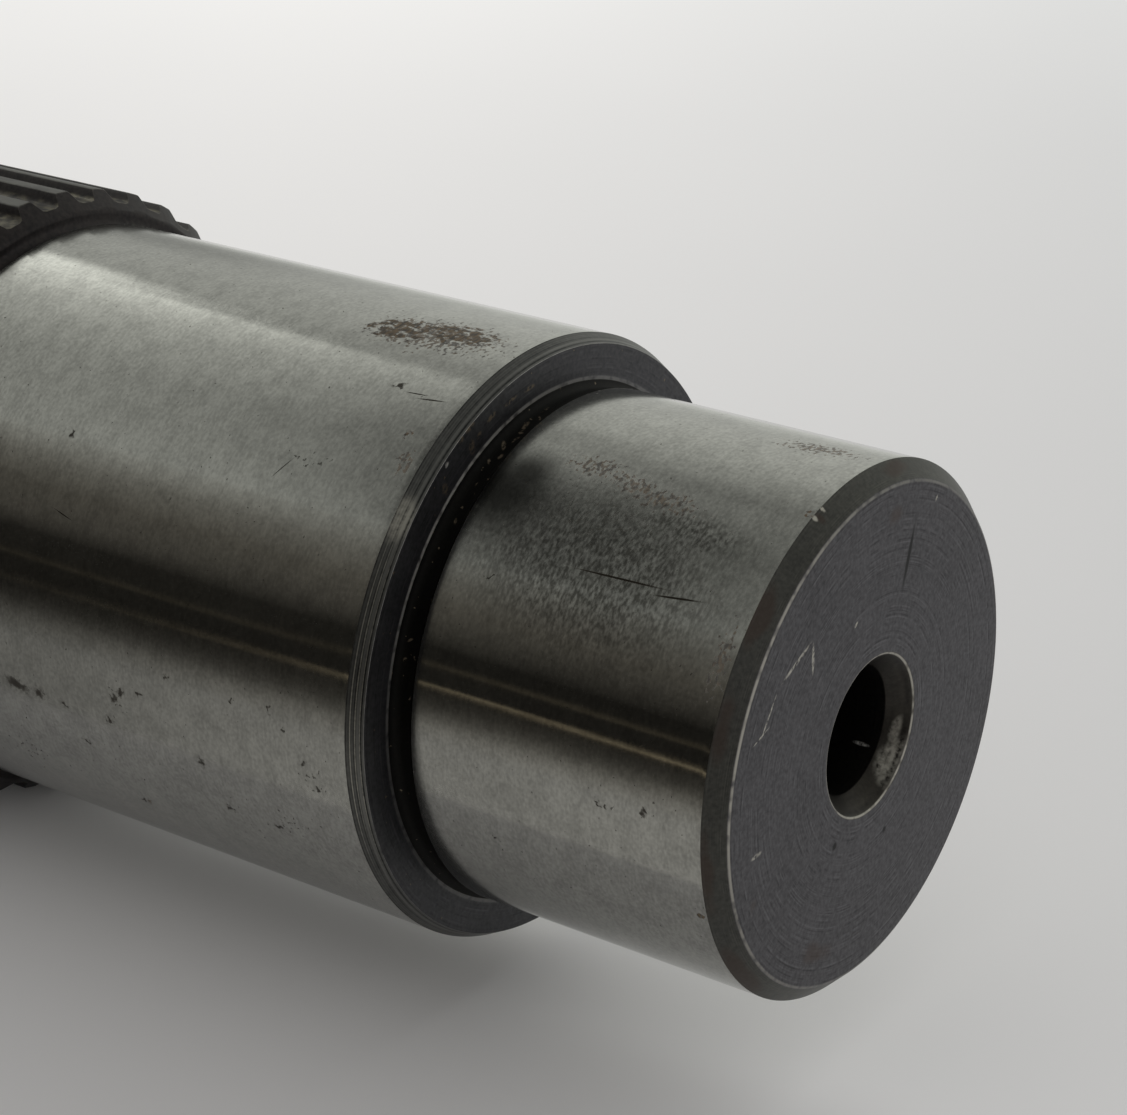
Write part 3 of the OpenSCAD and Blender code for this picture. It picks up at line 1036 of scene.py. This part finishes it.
# Features of the tent, each as places along it and values there. The overhead lamp has an edge, given
# as an angle, and a glow. The flag and the strip take a share of the light away. The slit lets two
# warm lines of light in.
LAMP_EDGE = ((-0.26, -0.251, -0.237, -0.22, -0.183), (131, 126.7, 119.9, 118.5, 116.5))
LAMP_GLOW = ((-0.27, -0.251, -0.22, -0.183, -0.14), (1.6, 1.2, 0.5, 0.42, 0.0))
FLAG_SHARE = ((-0.175, -0.155, -0.14, -0.112), (0, 0.95, 0.95, 0.0))
STRIP_SHARE = ((-0.15, -0.12), (0, 0.3))
SLIT_ANGLE = ((-0.25, -0.183, -0.142, -0.112), (-6.0, -5.4, -2.0, -2.6))
SLIT_GLOW = ((-0.25, -0.18, -0.14), (0.012, 0.04, 0.5))
SECOND_GLOW = ((-0.18, -0.14), (0.03, 0.06))
# Their middles and reaches in degrees. The lamp fades below its edge and above it, and the flag has
# steeper sides, by its power.
LAMP_FADE = (15, 1.5)
FLAG_BELL = (74, 27, 4)
STRIP_BELL = (111, 5)
SLIT_REACH = 0.4
SECOND_ABOVE, SECOND_REACH = 9, 0.8


def bell(angle, middle, reach, power=2):
    """1 at the middle angle, falling to 1/e at the reach on both sides, steeper for a higher power."""
    return np.exp(-((angle - middle) / reach) ** power)


def tent_glow(x, angle):
    """Glow of the tent at a place along it and an angle above the horizon, as RGB.

    It is read from the table, and slides from column to column along x. Then come an overhead lamp
    with one sharp edge, brighter towards the spline, a dark flag that the journal sees next to the
    shoulder, a dark strip above it, and two warm lines of light through a slit."""
    where = np.clip(np.interp(x, TENT_PLACES, np.arange(3)), 0, 2)
    levels = [np.interp(angle, TENT_GLOW[:, 0], TENT_GLOW[:, i]) for i in (1, 2, 3)]
    glow = sum(level * np.clip(1 - np.abs(where - i), 0, 1) for i, level in enumerate(levels))
    past_edge = angle - np.interp(x, *LAMP_EDGE)
    below = np.exp(np.minimum(past_edge, 0) / LAMP_FADE[0])
    above = bell(np.maximum(past_edge, 0), 0, LAMP_FADE[1])
    glow += np.interp(x, *LAMP_GLOW) * below * above
    glow *= 1 - np.interp(x, *FLAG_SHARE) * bell(angle, *FLAG_BELL)
    glow *= 1 - np.interp(x, *STRIP_SHARE) * bell(angle, *STRIP_BELL)
    slit = np.interp(x, *SLIT_ANGLE)
    line = np.interp(x, *SLIT_GLOW) * bell(angle, slit, SLIT_REACH)
    line += np.interp(x, *SECOND_GLOW) * bell(angle, slit + SECOND_ABOVE, SECOND_REACH)
    tint = np.stack([np.interp(angle, TINT_ANGLES, TINTS[:, i]) for i in (0, 1, 2)], -1)
    return glow[..., None] * tint + line[..., None] * WARM


angle = np.linspace(TENT_FROM, TENT_TO, TENT_ROWS)[:, None] * np.ones(TENT_COLUMNS)
tent_x = np.linspace(*TENT_X, TENT_COLUMNS) * np.ones((TENT_ROWS, 1))
# Below the horizon the tent lies along the floor instead of going through it. There it is close to
# the shaft, so its columns lean towards the part of the shaft that mirrors them.
FLOOR_GAP = 0.0005
MIRROR_R = 0.0215
MIRROR_START, MIRROR_STRETCH = 0.2165, 2.2
rise = np.radians(angle)
reach = np.where(rise < 0, (-floor_z - FLOOR_GAP) / np.sin(np.abs(rise) + 1e-6), TENT_R)
reach = np.minimum(reach, TENT_R)
mirrored_at = (tent_x + MIRROR_START) / MIRROR_STRETCH
lean = (TENT_R - reach) / (TENT_R - MIRROR_R) * (mirrored_at - tent_x)
tent = sheet("dim_tent", np.stack([tent_x + lean, -reach * np.cos(rise), reach * np.sin(rise)], -1))
for seen_by in ("camera", "diffuse", "transmission", "volume_scatter", "shadow"):
    setattr(tent, "visible_" + seen_by, False)
layer = tent.data.attributes.new("glow", "FLOAT_COLOR", "POINT")
glow = np.concatenate([tent_glow(tent_x, angle), np.ones((TENT_ROWS, TENT_COLUMNS, 1))], -1)
layer.data.foreach_set("color", glow.astype(np.float32).ravel())
cloth, tree = new_material("grey_tent_cloth")
shine = add(tree, "Emission", {0: add(tree, "Attribute", attribute_name="glow")})
add(tree, "OutputMaterial", {"Surface": shine})
# Reflections find the tent by themselves, so no lamp rays need to be spent on it
cloth.cycles.emission_sampling = "NONE"
tent.data.materials.append(cloth)
print("tent over", TENT_TO - TENT_FROM, "degrees")

# %% Hang the lamp and set the room
def soft_box(name, place, width, height, radiance, aim):
    """A lamp that looks equally bright from every side: its power is radiance * pi * area."""
    lamp = bpy.data.lights.new(name, "AREA")
    lamp.shape = "RECTANGLE"
    lamp.size = width
    lamp.size_y = height
    lamp.energy = radiance * math.pi * width * height
    item = bpy.data.objects.new(name, lamp)
    item.location = place
    towards = np.array(aim) - np.array(place)
    flat = math.hypot(towards[0], towards[1])
    item.rotation_euler = (math.atan2(flat, -towards[2]), 0.0, math.atan2(-towards[0], towards[1]))
    scene.collection.objects.link(item)
    return item


LAMP_PLACE = (-0.45, 1.13, 0.39)
LAMP_SIZE = (1.44, 0.35)
LAMP_RADIANCE = 10.2
key = soft_box("back_window", LAMP_PLACE, *LAMP_SIZE, LAMP_RADIANCE, (0.0, 0.0, 0.0))
# The lamp lights the board, and the metal sees the pale room in its place
key.visible_camera = False
key.visible_glossy = False

ROOM = "#d7d5d6"
ROOM_FILL = 0.7
world = bpy.data.worlds.new("pale_room")
scene.world = world
world.use_nodes = True
tree = world.node_tree
tree.nodes.clear()
seen = add(tree, "LightPath", out="Is Camera Ray")
for ray in ("Is Glossy Ray", "Is Transmission Ray"):
    seen = add(tree, "Math", {0: seen, 1: add(tree, "LightPath", out=ray)}, operation="MAXIMUM")
level = add(tree, "MapRange", {0: seen, 3: ROOM_FILL, 4: 1.0})
add(tree, "OutputWorld", {"Surface": add(tree, "Background", {0: linear(ROOM), 1: level})})
scene.view_settings.view_transform = "Standard"
